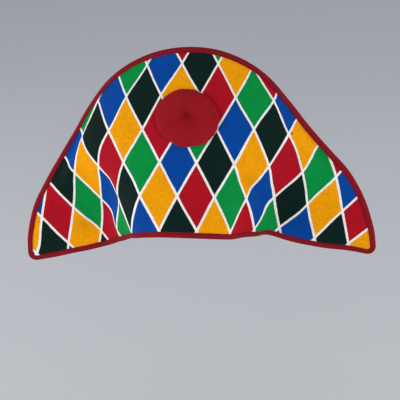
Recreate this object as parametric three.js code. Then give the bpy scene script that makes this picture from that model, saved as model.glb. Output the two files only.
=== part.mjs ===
// A soft two-cornered harlequin hat: two half-moon panels of foam-backed cloth joined along their
// curved edge, red tape over every edge, and a gathered rosette on the front panel.
// Millimetres, +Z up, the front faces -Y. The origin is the middle of the head opening,
// level with the forehead hem.
import * as THREE from 'three';
import { mergeVertices } from 'three/addons/utils/BufferGeometryUtils.js';

// Driving dimensions
const halfSpan = 195;        // middle of the hat to a wing's edge
const crownRise = 185;       // forehead hem to the top of the crown seam
const wingDrop = 50;         // forehead hem down to the lowest point of a wing
const headDepth = 96;        // crown seam's plane to the forehead hem, inside the cloth
const clothWall = 2;         // foam-backed printed cloth
const tapeWall = 1;          // folded binding tape
const tapeLeg = 4.5;         // how far the tape covers the cloth from its edge
const clearance = 0.3;       // gap between neighbouring pieces
const tapeEase = 0.6;        // looseness of the folded tape on the cloth
const tipRadius = 7;         // rounding of each wing's lower corner
const tapeJoint = 1.5;       // gap along the edge between the crown tape and a hem tape
const rosetteRadius = 33;
const rosetteRise = 130;     // forehead hem to the rosette's middle, along the cloth
const rosetteAside = 2.6;    // its middle lies this far to +X
const rosetteLoft = 7;       // thickness of the rosette's soft ring
const rosetteEdge = 3;       // thickness of its rolled edge
const rosetteDimple = 2.4;   // thickness left where the gathers are drawn together
const pleatDepth = 0.8;      // how far the pleats rise and fall
const cutHalfWidth = 233;    // the flat half-moon that each panel is cut from
const cutHeight = 209;

// Counts
const pleatCount = 30;
const stepsAlong = 56;       // facets of a panel from tip to tip
const stepsUp = 12;          // facets of a panel from hem to seam
const tipSteps = 5;          // facets of the crown tape round a wing's corner
const closedFacets = 2;      // facets of the hem that the crown tape closes at each tip

// The front panel's inner face is spanned by rulings from the hem to the crown seam.
// along: place on the hem, 0 in the middle and 1 at the tip
// seamOut, hemOut: distance from the middle, shares of halfSpan
// seamUp: height above the wing's lowest point, share of crownRise + wingDrop
// hemDepth: distance from the crown seam's plane, share of headDepth
// hemUp: height above the wing's lowest point, share of wingDrop
// bow: how far the middle of a ruling swells out over the head, share of headDepth
// cutOut, cutUp: where the seam lay on the flat half-moon, shares of cutHalfWidth and cutHeight
const stationColumns = [
  'along', 'seamOut', 'seamUp', 'hemOut', 'hemDepth', 'hemUp', 'bow', 'cutOut', 'cutUp',
];
const stationRows = [
  [0.0, 0.0, 1.0, 0.0, 1.0, 1.0, 0.045, 0.0, 1.0],
  [0.1, 0.167, 0.983, 0.118, 0.98, 0.983, 0.055, 0.142, 0.982],
  [0.2, 0.323, 0.932, 0.223, 0.88, 0.932, 0.085, 0.279, 0.933],
  [0.3, 0.454, 0.854, 0.301, 0.705, 0.832, 0.105, 0.395, 0.847],
  [0.4, 0.568, 0.742, 0.357, 0.49, 0.708, 0.095, 0.494, 0.727],
  [0.5, 0.666, 0.622, 0.419, 0.285, 0.58, 0.045, 0.584, 0.608],
  [0.6, 0.77, 0.501, 0.508, 0.14, 0.432, 0.01, 0.691, 0.498],
  [0.7, 0.866, 0.386, 0.617, 0.085, 0.294, 0.0, 0.798, 0.397],
  [0.8, 0.945, 0.261, 0.733, 0.045, 0.18, 0.0, 0.897, 0.282],
  [0.9, 0.99, 0.125, 0.848, 0.016, 0.076, 0.0, 0.974, 0.148],
  [1.0, 1.0, 0.03, 0.964, 0.0, 0.0, 0.0, 1.0, 0.0],
];
const asRecord = (columns, row) => Object.fromEntries(columns.map((name, k) => [name, row[k]]));
const stations = stationRows.map((row) => asRecord(stationColumns, row));
const outwardColumns = ['along', 'seamOut', 'hemOut', 'cutOut'];   // these change sign on the left

// The worn hat isn't quite even. These are added to the stations of that side, -X below zero.
const unevenColumns = ['along', 'seamOut', 'seamUp', 'hemUp'];
const unevenRows = [
  [-0.8, 0.003, 0.0, 0.0],
  [-0.7, 0.006, -0.003, -0.02],
  [-0.6, 0.0025, -0.001, -0.035],
  [-0.4, 0.0, 0.0, 0.03],
  [-0.3, 0.0, 0.0, 0.045],
  [-0.2, 0.0, 0.0, 0.035],
  [-0.1, 0.0, 0.0, 0.03],
  [0.1, 0.0, 0.0, -0.02],
  [0.2, -0.003, -0.003, -0.045],
  [0.3, -0.010, -0.006, -0.05],
  [0.4, -0.015, -0.009, 0.0],
  [0.5, -0.011, -0.007, 0.035],
  [0.6, -0.003, -0.002, 0.0],
  [0.7, 0.007, 0.003, 0.0],
  [0.8, 0.003, 0.0, 0.0],
  [0.9, 0.0, 0.0, 0.03],
];
const unevenStations = unevenRows.map((row) => asRecord(unevenColumns, row));

// Soft folds of each panel, placed on its flat half-moon: from one end to the other, how far a fold
// spreads, and its height. A height below zero is a dent.
const foldColumns = ['fromX', 'fromZ', 'toX', 'toZ', 'spread', 'height'];
const frontFolds = [
  [-155, 90, -110, 110, 25, 8.0],
  [-102, 62, -98, 45, 13, -4.5],
  [-115, 32, -150, 15, 20, -4.5],
  [-46, 45, -66, 0, 14, 3.0],
  [-104, 0, -108, 14, 15, 4.0],
  [130, 98, 146, 76, 27, 8.0],
  [65, 62, 75, 8, 18, -6.5],
  [98, 36, 68, 64, 9, -4.0],
  [98, 52, 125, 5, 17, -5.0],
  [146, 52, 151, 32, 14, 4.0],
].map((row) => asRecord(foldColumns, row));
const backFolds = [
  [-150, 85, -112, 105, 24, 7.0],
  [-98, 60, -106, 25, 15, -4.0],
  [-50, 40, -58, 0, 15, 2.0],
  [120, 102, 150, 78, 24, 8.0],
  [92, 55, 102, 15, 16, -4.5],
  [56, 44, 62, 0, 15, 2.5],
].map((row) => asRecord(foldColumns, row));
const foldFree = 4;          // the folds begin this far from the crown seam
const foldFull = 24;         // and have their full height from here on

// The rosette's front from its middle to its edge.
// out: distance from the middle, share of rosetteRadius
// loft: 0 at the dimple's thickness, 1 at the full loft
// pleat: share of pleatDepth
const rosetteFront = [
  { out: 0.0, loft: 0.0, pleat: 0.0 },
  { out: 0.13, loft: 0.12, pleat: 0.35 },
  { out: 0.32, loft: 0.62, pleat: 1.0 },
  { out: 0.6, loft: 1.0, pleat: 0.9 },
  { out: 0.84, loft: 0.8, pleat: 0.6 },
];
const rosetteBack = [0.0, 0.35, 0.7, 0.95];   // rings of its back, shares of rosetteRadius

// Half the gap between the panels where the crown tape holds them together
const seamRoom = clearance / 2;
// From here to the tip the hem is closed too
const closedFrom = 1 - 2 * closedFacets / stepsAlong;

const leftStations = stations.slice(1).reverse().map((row) => {
  const mirroredRow = { ...row };
  for (const name of outwardColumns) mirroredRow[name] = -row[name];
  return mirroredRow;
});
const allStations = [...leftStations, ...stations].map((row) => {
  const change = unevenStations.find(({ along }) => along === row.along);
  const { seamOut = 0, seamUp = 0, hemUp = 0 } = change ?? {};
  return { ...row, seamOut: row.seamOut + seamOut, seamUp: row.seamUp + seamUp, hemUp: row.hemUp + hemUp };
});

// A smooth curve through one column of the table, with the slope of its neighbours at each row
function columnAt(name, along) {
  const last = allStations.length - 1;
  let i = 0;
  while (i < last - 1 && along > allStations[i + 1].along) i += 1;
  const value = (k) => allStations[k][name];
  const place = (k) => allStations[k].along;
  const slope = (k) => {
    const before = Math.max(k - 1, 0);
    const after = Math.min(k + 1, last);
    return (value(after) - value(before)) / (place(after) - place(before));
  };
  const span = place(i + 1) - place(i);
  const t = (along - place(i)) / span;
  const t2 = t * t;
  const t3 = t2 * t;
  return value(i) * (2 * t3 - 3 * t2 + 1) + slope(i) * span * (t3 - 2 * t2 + t)
    + value(i + 1) * (3 * t2 - 2 * t3) + slope(i + 1) * span * (t3 - t2);
}

function hemPoint(along) {
  // Between the closed tips the hems stand apart far enough for both hem tapes
  const open = 1 - THREE.MathUtils.smoothstep(Math.abs(along), closedFrom, 1);
  const room = seamRoom + (tapeWall + tapeEase) * open;
  return new THREE.Vector3(
    columnAt('hemOut', along) * halfSpan,
    -(room + columnAt('hemDepth', along) * headDepth),
    (columnAt('hemUp', along) - 1) * wingDrop,
  );
}

function seamPoint(along) {
  return new THREE.Vector3(
    columnAt('seamOut', along) * halfSpan,
    -seamRoom,
    columnAt('seamUp', along) * (crownRise + wingDrop) - wingDrop,
  );
}

const slopeStep = 0.001;     // half the spacing of the points that give a slope
const tipStart = 0.9;        // place along the hem where a wing's end begins to round

// Outward direction of the cloth at a ruling, between the hem and the seam
function rulingNormal(along) {
  const left = Math.max(along - slopeStep, -1);
  const right = Math.min(along + slopeStep, 1);
  const sideways = hemPoint(right).add(seamPoint(right)).sub(hemPoint(left)).sub(seamPoint(left));
  const upwards = seamPoint(along).sub(hemPoint(along));
  return sideways.cross(upwards).normalize();
}

const humpAt = (rise) => 4 * rise * (1 - rise);

function ruledPoint(along, rise) {
  const bow = columnAt('bow', along) * headDepth * humpAt(rise);
  return hemPoint(along).lerp(seamPoint(along), rise).addScaledVector(rulingNormal(along), bow);
}

// The panel's inner face. The ruling at each tip is the chord of a rounded corner.
function innerPoint(along, rise) {
  const chord = seamPoint(along).sub(hemPoint(along));
  const outward = new THREE.Vector3(chord.z, 0, -chord.x).normalize().multiplyScalar(Math.sign(along));
  const sagitta = tipRadius * (1 - Math.SQRT1_2) * THREE.MathUtils.smoothstep(Math.abs(along), tipStart, 1);
  return ruledPoint(along, rise).addScaledVector(outward, sagitta * humpAt(rise));
}

// The cloth's outward direction, and the millimetres that one unit of along and of rise cover
function clothFrame(along, rise) {
  const left = Math.max(along - slopeStep, -1);
  const right = Math.min(along + slopeStep, 1);
  const below = Math.max(rise - slopeStep, 0);
  const above = Math.min(rise + slopeStep, 1);
  const sideways = ruledPoint(right, rise).sub(ruledPoint(left, rise));
  const upwards = ruledPoint(along, above).sub(ruledPoint(along, below));
  return {
    outwards: sideways.clone().cross(upwards).normalize(),
    alongScale: sideways.length() / (right - left),
    riseScale: upwards.length() / (above - below),
  };
}

// Height of the folds over the smooth panel. The tape keeps them even along the first facet.
function foldHeight(folds, along, rise) {
  const up = Math.max(rise, 1 / stepsUp);
  const spot = new THREE.Vector2(
    cutHalfWidth * (along * (1 - up) + columnAt('cutOut', along) * up),
    cutHeight * columnAt('cutUp', along) * up,
  );
  const fromSeam = (1 - rise) * clothFrame(along, 0.9).riseScale;
  const fade = THREE.MathUtils.smoothstep(fromSeam, foldFree, foldFull);
  return folds.reduce((sum, fold) => {
    const start = new THREE.Vector2(fold.fromX, fold.fromZ);
    const run = new THREE.Vector2(fold.toX, fold.toZ).sub(start);
    const offset = spot.clone().sub(start);
    const share = THREE.MathUtils.clamp(offset.dot(run) / run.lengthSq(), 0, 1);
    const away = offset.addScaledVector(run, -share).length() / fold.spread;
    return sum + fold.height * Math.exp(-away * away) * fade;
  }, 0);
}

// A point at a height above the panel's inner face. The back panel is shaped here as a front one.
function clothPoint(folds, along, rise, height) {
  const lift = height + foldHeight(folds, along, rise);
  return innerPoint(along, rise).addScaledVector(clothFrame(along, rise).outwards, lift);
}

// Merges shared vertices and drops the empty faces at a pole
function closeUp(geometry) {
  geometry.deleteAttribute('normal');
  geometry.deleteAttribute('uv');
  const merged = mergeVertices(geometry);
  const faces = [];
  for (let i = 0; i < merged.index.count; i += 3) {
    const corners = [0, 1, 2].map((k) => merged.index.getX(i + k));
    if (new Set(corners).size === 3) faces.push(...corners);
  }
  merged.setIndex(faces);
  merged.computeVertexNormals();
  return merged;
}

// Bends a flat strip into place: place(a, b, c) takes whole steps along and across it, and 0 or 1
// through its wall
function bentStrip(stepsA, stepsB, place) {
  const geometry = new THREE.BoxGeometry(stepsA, stepsB, 1, stepsA, stepsB, 1);
  geometry.translate(stepsA / 2, stepsB / 2, 0.5);
  const position = geometry.attributes.position;
  for (let i = 0; i < position.count; i += 1) {
    const [a, b, c] = [position.getX(i), position.getY(i), position.getZ(i)].map(Math.round);
    position.setXYZ(i, ...place(a, b, c).toArray());
  }
  return closeUp(geometry);
}

// The same piece on the other side of the crown seam's plane
function mirroredBack(geometry) {
  const mirrored = geometry.clone().scale(1, -1, 1);
  const index = mirrored.index;
  for (let i = 0; i < index.count; i += 3) {
    const second = index.getX(i + 1);
    index.setX(i + 1, index.getX(i + 2));
    index.setX(i + 2, second);
  }
  mirrored.computeVertexNormals();
  return mirrored;
}

// Places along the hem at the edges of a panel's facets
const stops = Array.from({ length: stepsAlong + 1 }, (unused, i) => 2 * i / stepsAlong - 1);

function panelGeometry(folds) {
  return bentStrip(stepsAlong, stepsUp, (a, b, c) => clothPoint(folds, stops[a], b / stepsUp, c * clothWall));
}

// Places on a panel's edge, each with the directions out of the cloth and in from the edge. The
// facet beside the edge gives both.
function walkEdge(folds, places) {
  const edges = places.map((place) => clothPoint(folds, ...place, 0));
  return places.map(([along, rise], i) => {
    const forward = edges[Math.min(i + 1, places.length - 1)].clone().sub(edges[Math.max(i - 1, 0)]).normalize();
    const towards = rise > 0 ? [along, 1 - 1 / stepsUp] : [along, 1 / stepsUp];
    if (rise > 0 && rise < 1) towards.splice(0, 2, stops.at(along > 0 ? -2 : 1), rise);
    const inwards = clothPoint(folds, ...towards, 0).sub(edges[i]);
    inwards.addScaledVector(forward, -inwards.dot(forward)).normalize();
    const outwards = forward.clone().cross(inwards);
    outwards.multiplyScalar(Math.sign(outwards.dot(clothFrame(along, rise).outwards)));
    return { edge: edges[i], outwards, inwards };
  });
}

function offsetPoint({ edge, outwards, inwards }, height, depth) {
  return edge.clone().addScaledVector(outwards, height).addScaledVector(inwards, depth);
}

// The tape over the joined edges. It closes a short length of hem at one wing's tip, goes round the
// corner and over the crown, and does the same at the other tip.
function crownTapeGeometry() {
  const cornerRises = Array.from({ length: tipSteps - 1 }, (unused, i) => (i + 1) / tipSteps);
  const places = [
    ...stops.slice(0, closedFacets + 1).reverse().map((along) => [along, 0]),
    ...cornerRises.map((rise) => [-1, rise]),
    ...stops.map((along) => [along, 1]),
    ...cornerRises.slice().reverse().map((rise) => [1, rise]),
    ...stops.slice(-closedFacets - 1).reverse().map((along) => [along, 0]),
  ];
  const backWalk = walkEdge(backFolds, places);
  const sections = walkEdge(frontFolds, places).map((station, i) => {
    const backStation = backWalk[i];
    const inwards = station.inwards.clone().add(backStation.inwards);
    const away = new THREE.Vector3(-inwards.x, 0, -inwards.z).normalize();
    const lean = Math.max(station.outwards.dot(away), backStation.outwards.dot(away), 0);
    const crest = clothWall * lean + tapeEase;
    return [0, tapeWall].map((lift) => {
      const height = clothWall + tapeEase + lift;
      const leg = (side) => [offsetPoint(side, height, tapeLeg), offsetPoint(side, height, -clearance)];
      const top = new THREE.Vector3(station.edge.x, 0, station.edge.z).addScaledVector(away, crest + lift);
      const back = leg(backStation).map((point) => new THREE.Vector3(point.x, -point.y, point.z));
      return [...leg(station), top, ...back.reverse()];
    });
  });
  const stepsAcross = sections[0][0].length - 1;
  return bentStrip(places.length - 1, stepsAcross, (a, b, c) => sections[a][c][b]);
}

// The tape over one panel's lower edge: inner leg, fold and outer leg
function hemTapeGeometry(folds) {
  const end = closedFrom - tapeJoint / clothFrame(closedFrom, 0).alongScale;
  const between = stops.slice(closedFacets + 1, -closedFacets - 1);
  const places = [-end, ...between, end].map((along) => [along, 0]);
  const inside = -tapeEase;
  const outside = clothWall + tapeEase;
  const sections = walkEdge(folds, places).map((station) => [
    [
      offsetPoint(station, inside, tapeLeg),
      offsetPoint(station, inside, 0),
      offsetPoint(station, inside, -clearance),
      offsetPoint(station, outside, -clearance),
      offsetPoint(station, outside, 0),
      offsetPoint(station, outside, tapeLeg),
    ],
    [
      offsetPoint(station, inside - tapeWall, tapeLeg),
      offsetPoint(station, inside - tapeWall, 0),
      offsetPoint(station, inside, -clearance - tapeWall),
      offsetPoint(station, outside, -clearance - tapeWall),
      offsetPoint(station, outside + tapeWall, 0),
      offsetPoint(station, outside + tapeWall, tapeLeg),
    ],
  ]);
  const stepsAcross = sections[0][0].length - 1;
  return bentStrip(places.length - 1, stepsAcross, (a, b, c) => sections[a][c][b]);
}

// The rosette lies near the front panel's middle line and follows the cloth
function rosetteGeometry() {
  const middle = rosetteRise / clothFrame(0, 0.5).riseScale;
  const { alongScale, riseScale } = clothFrame(0, middle);
  const seat = clothWall + clearance;
  const loftRange = rosetteLoft - rosetteDimple;
  const profile = [
    ...rosetteBack.map((out) => ({ out, height: 0, pleat: 0 })),
    { out: 1, height: rosetteEdge / 2, pleat: 0 },
    { out: 0.96, height: rosetteEdge, pleat: 0 },
    ...rosetteFront.slice().reverse().map(({ out, loft, pleat }) => (
      { out, height: rosetteDimple + loft * loftRange, pleat })),
  ];
  const points = profile.map(({ out, height }) => new THREE.Vector2(out * rosetteRadius, height));
  const segments = 2 * pleatCount;
  const geometry = new THREE.LatheGeometry(points, segments);
  const position = geometry.attributes.position;
  for (let i = 0; i < position.count; i += 1) {
    const row = profile[i % profile.length];
    const turn = Math.floor(i / profile.length);
    const fold = (turn % 2 === 0 ? 1 : -1) * row.pleat * pleatDepth;
    position.setXYZ(i, ...clothPoint(
      frontFolds,
      (rosetteAside + position.getZ(i)) / alongScale,
      middle + position.getX(i) / riseScale,
      seat + position.getY(i) + fold,
    ).toArray());
  }
  return closeUp(geometry);
}

function makePiece(name, geometry, colour, roughness) {
  const material = new THREE.MeshStandardMaterial({ color: colour, roughness, metalness: 0 });
  const mesh = new THREE.Mesh(geometry, material);
  mesh.name = name;
  return mesh;
}

const printColour = 0xf2a40c;
const tapeColour = 0x9a1924;
const rosetteColour = 0x921c22;

const hat = new THREE.Group();
hat.add(
  makePiece('front_panel', panelGeometry(frontFolds), printColour, 0.8),
  makePiece('back_panel', mirroredBack(panelGeometry(backFolds)), printColour, 0.8),
  makePiece('crown_seam_binding', crownTapeGeometry(), tapeColour, 0.7),
  makePiece('front_hem_binding', hemTapeGeometry(frontFolds), tapeColour, 0.7),
  makePiece('back_hem_binding', mirroredBack(hemTapeGeometry(backFolds)), tapeColour, 0.7),
  makePiece('rosette', rosetteGeometry(), rosetteColour, 0.85),
);

export default hat;
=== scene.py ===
# A soft two-cornered harlequin hat: two half-moons of diamond-printed foam cloth, red bound edges
# and a gathered rosette on the front
import bmesh
import bpy
import math
from functools import lru_cache
from mathutils import Matrix, Vector, noise


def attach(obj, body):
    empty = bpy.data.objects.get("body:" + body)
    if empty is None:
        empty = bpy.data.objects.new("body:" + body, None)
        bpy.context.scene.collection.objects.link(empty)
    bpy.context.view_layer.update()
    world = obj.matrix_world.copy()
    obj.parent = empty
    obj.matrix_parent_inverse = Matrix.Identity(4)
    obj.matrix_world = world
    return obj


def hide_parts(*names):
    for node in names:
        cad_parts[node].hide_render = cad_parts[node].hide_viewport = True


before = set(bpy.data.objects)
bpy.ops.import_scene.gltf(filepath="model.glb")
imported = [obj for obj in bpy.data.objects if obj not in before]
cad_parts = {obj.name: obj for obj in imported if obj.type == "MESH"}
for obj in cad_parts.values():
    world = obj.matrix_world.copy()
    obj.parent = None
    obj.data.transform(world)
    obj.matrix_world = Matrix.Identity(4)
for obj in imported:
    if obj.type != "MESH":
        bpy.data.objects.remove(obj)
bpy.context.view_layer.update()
print("frame loaded:", ", ".join(sorted(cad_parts)))

# Form of the hat, in metres. The front faces -Y, and the origin is the middle of the head opening.
hat = {
    "halfSpan": 0.195,       # middle of the hat to a wing's edge
    "crownRise": 0.185,      # forehead hem to the crown seam
    "wingDrop": 0.050,       # forehead hem down to a wing's lowest point
    "headDepth": 0.096,      # crown seam's plane to the forehead hem
    "clothWall": 0.002,
    "seamRoom": 0.00015,     # half the gap between the panels along the crown seam
    "hemRoom": 0.0016,       # more room between the hems, for the tape on each
    "closedFrom": 0.929,     # from here to the tip one tape closes both hems
    "tipRadius": 0.007,
    "tipStart": 0.9,         # where a wing's end begins to round
    "cutHalfWidth": 0.233,   # the flat half-moon before it was sewn
    "cutHeight": 0.209,
    "cutDip": 0.0044,        # how far its lower edge curves down on each side
    "cutDipStart": 0.25,     # and from which along it does
    "cutMargin": 0.006,      # more width of cut cloth, turned into the tapes
    "cutArea": 0.0675,
}
# The flat half-moon's middle lower edge on its UV map, which is in metres
uvMiddle = 0.25
uvBase = 0.03

# Rulings from the hem to the crown seam. along is 0 in the middle and 1 at a tip, and the other
# columns are shares of the sizes above. cutOut and cutUp say where the seam lay on the flat cloth.
stationColumns = ("along", "seamOut", "seamUp", "hemOut", "hemDepth", "hemUp", "bow", "cutOut", "cutUp")
stationRows = (
    (0.0, 0.0, 1.0, 0.0, 1.0, 1.0, 0.045, 0.0, 1.0),
    (0.1, 0.167, 0.983, 0.118, 0.98, 0.983, 0.055, 0.142, 0.982),
    (0.2, 0.323, 0.932, 0.223, 0.88, 0.932, 0.085, 0.279, 0.933),
    (0.3, 0.454, 0.854, 0.301, 0.705, 0.832, 0.105, 0.395, 0.847),
    (0.4, 0.568, 0.742, 0.357, 0.49, 0.708, 0.095, 0.494, 0.727),
    (0.5, 0.666, 0.622, 0.419, 0.285, 0.58, 0.045, 0.584, 0.608),
    (0.6, 0.77, 0.501, 0.508, 0.14, 0.432, 0.01, 0.691, 0.498),
    (0.7, 0.866, 0.386, 0.617, 0.085, 0.294, 0.0, 0.798, 0.397),
    (0.8, 0.945, 0.261, 0.733, 0.045, 0.18, 0.0, 0.897, 0.282),
    (0.9, 0.99, 0.125, 0.848, 0.016, 0.076, 0.0, 0.974, 0.148),
    (1.0, 1.0, 0.03, 0.964, 0.0, 0.0, 0.0, 1.0, 0.0),
)
outwardColumns = ("along", "seamOut", "hemOut", "cutOut")   # these change sign on the left

# The worn hat isn't quite even. These are added to the stations of that side, -X below zero.
unevenColumns = ("along", "seamOut", "seamUp", "hemUp")
unevenRows = (
    (-0.8, 0.003, 0.0, 0.0),
    (-0.7, 0.006, -0.003, -0.02),
    (-0.6, 0.0025, -0.001, -0.035),
    (-0.4, 0.0, 0.0, 0.03),
    (-0.3, 0.0, 0.0, 0.045),
    (-0.2, 0.0, 0.0, 0.035),
    (-0.1, 0.0, 0.0, 0.03),
    (0.1, 0.0, 0.0, -0.02),
    (0.2, -0.003, -0.003, -0.045),
    (0.3, -0.010, -0.006, -0.05),
    (0.4, -0.015, -0.009, 0.0),
    (0.5, -0.011, -0.007, 0.035),
    (0.6, -0.003, -0.002, 0.0),
    (0.7, 0.007, 0.003, 0.0),
    (0.8, 0.003, 0.0, 0.0),
    (0.9, 0.0, 0.0, 0.03),
)


def stationsOf(name):
    k = stationColumns.index(name)
    sign = -1 if name in outwardColumns else 1
    return [sign * row[k] for row in reversed(stationRows[1:])] + [row[k] for row in stationRows]


stations = {name: stationsOf(name) for name in stationColumns}
for row in unevenRows:
    place = stations["along"].index(row[0])
    for name, change in zip(unevenColumns[1:], row[1:]):
        stations[name][place] += change


def clamp(value, low=0.0, high=1.0):
    return max(low, min(high, value))


def smoothStep(value, low, high):
    t = clamp((value - low) / (high - low))
    return t * t * (3 - 2 * t)


def smoothCurve(start, end, slopeStart, slopeEnd, t):
    t2, t3 = t * t, t * t * t
    return (start * (2 * t3 - 3 * t2 + 1) + slopeStart * (t3 - 2 * t2 + t)
            + end * (3 * t2 - 2 * t3) + slopeEnd * (t3 - t2))


# A smooth curve through one column, with the slope of its neighbours at each row
def columnAt(name, along):
    places, values = stations["along"], stations[name]
    last = len(places) - 1
    i = 0
    while i < last - 1 and along > places[i + 1]:
        i += 1

    def slope(k):
        before, after = max(k - 1, 0), min(k + 1, last)
        return (values[after] - values[before]) / (places[after] - places[before])

    span = places[i + 1] - places[i]
    t = (along - places[i]) / span
    return smoothCurve(values[i], values[i + 1], slope(i) * span, slope(i + 1) * span, t)


def hemPoint(along):
    bound = 1 - smoothStep(abs(along), hat["closedFrom"], 1)
    return Vector((
        columnAt("hemOut", along) * hat["halfSpan"],
        -(hat["seamRoom"] + hat["hemRoom"] * bound + columnAt("hemDepth", along) * hat["headDepth"]),
        (columnAt("hemUp", along) - 1) * hat["wingDrop"],
    ))


def seamPoint(along):
    return Vector((
        columnAt("seamOut", along) * hat["halfSpan"],
        -hat["seamRoom"],
        columnAt("seamUp", along) * (hat["crownRise"] + hat["wingDrop"]) - hat["wingDrop"],
    ))


slopeStep = 0.001   # half the spacing of the points that give a slope
foldStep = 0.004    # and of those that give the slope of the cloth with its folds


# The places beside, below and above one, within the panel
def neighbours(along, rise, step):
    return max(along - step, -1), min(along + step, 1), max(rise - step, 0), min(rise + step, 1)


# One ruling: its ends, how far its middle swells out and how its end is rounded
@lru_cache(maxsize=None)
def rulingAt(along):
    hem, seam = hemPoint(along), seamPoint(along)
    chord = seam - hem
    left, right = neighbours(along, 0, slopeStep)[:2]
    sideways = hemPoint(right) + seamPoint(right) - hemPoint(left) - seamPoint(left)
    bow = sideways.cross(chord).normalized() * columnAt("bow", along) * hat["headDepth"]
    corner = Vector((chord.z, 0, -chord.x)).normalized() * math.copysign(1, along)
    corner *= hat["tipRadius"] * (1 - math.sqrt(0.5)) * smoothStep(abs(along), hat["tipStart"], 1)
    return hem, seam, bow, corner


def ruledPoint(along, rise):
    hem, seam, bow = rulingAt(along)[:3]
    return hem.lerp(seam, rise) + bow * 4 * rise * (1 - rise)


# The smooth panel's outward direction, and the metres that one unit of along and of rise cover
def smoothFrame(along, rise):
    left, right, below, above = neighbours(along, rise, slopeStep)
    sideways = ruledPoint(right, rise) - ruledPoint(left, rise)
    upwards = ruledPoint(along, above) - ruledPoint(along, below)
    outwards = sideways.cross(upwards).normalized()
    return outwards, sideways.length / (right - left), upwards.length / (above - below)


# Where a point of the panel lay on the flat half-moon, from the middle of its lower edge
def cutPoint(along, rise):
    start = hat["cutDipStart"]
    dip = hat["cutDip"] * math.sin(math.pi * clamp((abs(along) - start) / (1 - start)))
    x = hat["cutHalfWidth"] * (along * (1 - rise) + columnAt("cutOut", along) * rise)
    z = hat["cutHeight"] * columnAt("cutUp", along) * rise - dip * (1 - rise)
    return x, z


# Soft folds of each panel, on the flat half-moon: from one end to the other, how far a fold
# spreads, and its height, all in metres. A height below zero is a dent.
foldColumns = ("fromX", "fromZ", "toX", "toZ", "spread", "height")
frontFolds = (
    (-0.155, 0.090, -0.110, 0.110, 0.025, 0.0080),
    (-0.102, 0.062, -0.098, 0.045, 0.013, -0.0045),
    (-0.115, 0.032, -0.150, 0.015, 0.020, -0.0045),
    (-0.046, 0.045, -0.066, 0.000, 0.014, 0.0030),
    (-0.104, 0.000, -0.108, 0.014, 0.015, 0.0040),
    (0.130, 0.098, 0.146, 0.076, 0.027, 0.0080),
    (0.065, 0.062, 0.075, 0.008, 0.018, -0.0065),
    (0.098, 0.036, 0.068, 0.064, 0.009, -0.0040),
    (0.098, 0.052, 0.125, 0.005, 0.017, -0.0050),
    (0.146, 0.052, 0.151, 0.032, 0.014, 0.0040),
)
backFolds = (
    (-0.150, 0.085, -0.112, 0.105, 0.024, 0.0070),
    (-0.098, 0.060, -0.106, 0.025, 0.015, -0.0040),
    (-0.050, 0.040, -0.058, 0.000, 0.015, 0.0020),
    (0.120, 0.102, 0.150, 0.078, 0.024, 0.0080),
    (0.092, 0.055, 0.102, 0.015, 0.016, -0.0045),
    (0.056, 0.044, 0.062, 0.000, 0.015, 0.0025),
)
foldFree = 0.004             # the folds begin this far from the crown seam
foldFull = 0.024             # and have their full height from here on
softness = {
    "swell": 0.0007,         # slow unevenness of the foam
    "swellSpacing": 0.055,
    "swellSlice": 0.4,       # the front and the back take other slices of the noise
    "swellStart": 0.8,       # it begins and is full this many times tapeReach from an edge
    "swellFull": 3.0,
    "pucker": 0.0005,        # gathers that the tape's stitches draw into the cloth
    "puckerSpacing": 0.011,
    "puckerSlice": 3.0,
    "puckerReach": 0.012,
    "puckerStart": 0.003,    # they begin over this far from the tape
    "hemStretch": Vector((1, 0.35)),    # those along a hem are longer upwards
    "tapeReach": 0.0055,     # the cloth is flat under the tape
}
hemBand = 1 / 12             # share of a ruling along which the hem's tape keeps the folds even
hemBlend = 0.03              # and how softly it lets them go
nearSeam, nearHem = 0.9, 0.1    # rises at which the way to the crown seam and to the hem is measured


def foldHeight(folds, along, rise):
    past = rise - hemBand
    up = hemBand + (past + math.hypot(past, hemBlend)) / 2
    spot = Vector(cutPoint(along, min(up, 1)))
    height = 0.0
    for row in folds:
        fold = dict(zip(foldColumns, row))
        start = Vector((fold["fromX"], fold["fromZ"]))
        run = Vector((fold["toX"], fold["toZ"])) - start
        place = clamp((spot - start).dot(run) / run.length_squared)
        away = (spot - start - run * place).length / fold["spread"]
        height += fold["height"] * math.exp(-away * away)
    return height


# Height of the cloth above its smooth form. side is 1 on the front and -1 on the back.
def relief(side, along, rise):
    x, z = cutPoint(along, rise)
    alongSpan = hat["cutHalfWidth"] * (1 - abs(along))
    fromSeam = (1 - rise) * smoothFrame(along, nearSeam)[2]
    fromHem = rise * smoothFrame(along, nearHem)[2]
    reach = softness["tapeReach"]
    start, full = reach * softness["swellStart"], reach * softness["swellFull"]
    seamFade = smoothStep(min(fromSeam, alongSpan), start, full)
    swellAt = Vector((x, z, side * softness["swellSlice"])) / softness["swellSpacing"]
    swell = softness["swell"] * noise.noise(swellAt) * seamFade
    edge = min(fromSeam, fromHem) - reach
    puckerFade = math.exp(-max(edge, 0) / softness["puckerReach"])
    puckerFade *= smoothStep(edge, 0, softness["puckerStart"])
    stretch = softness["hemStretch"] if fromHem < fromSeam else Vector((1, 1))
    puckerAt = Vector((x * stretch.x, z * stretch.y, softness["puckerSlice"] + side))
    puckerAt /= softness["puckerSpacing"]
    pucker = softness["pucker"] * noise.noise(puckerAt) * puckerFade
    folds = foldHeight(frontFolds if side > 0 else backFolds, along, rise)
    return folds * smoothStep(fromSeam, foldFree, foldFull) + swell + pucker


# A point of the cloth, at a height above the panel's inner face
def clothPoint(side, along, rise, height):
    outwards = smoothFrame(along, rise)[0]
    corner = rulingAt(along)[3] * 4 * rise * (1 - rise)
    point = ruledPoint(along, rise) + corner + outwards * (height + relief(side, along, rise))
    return Vector((point.x, point.y * side, point.z))


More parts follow.
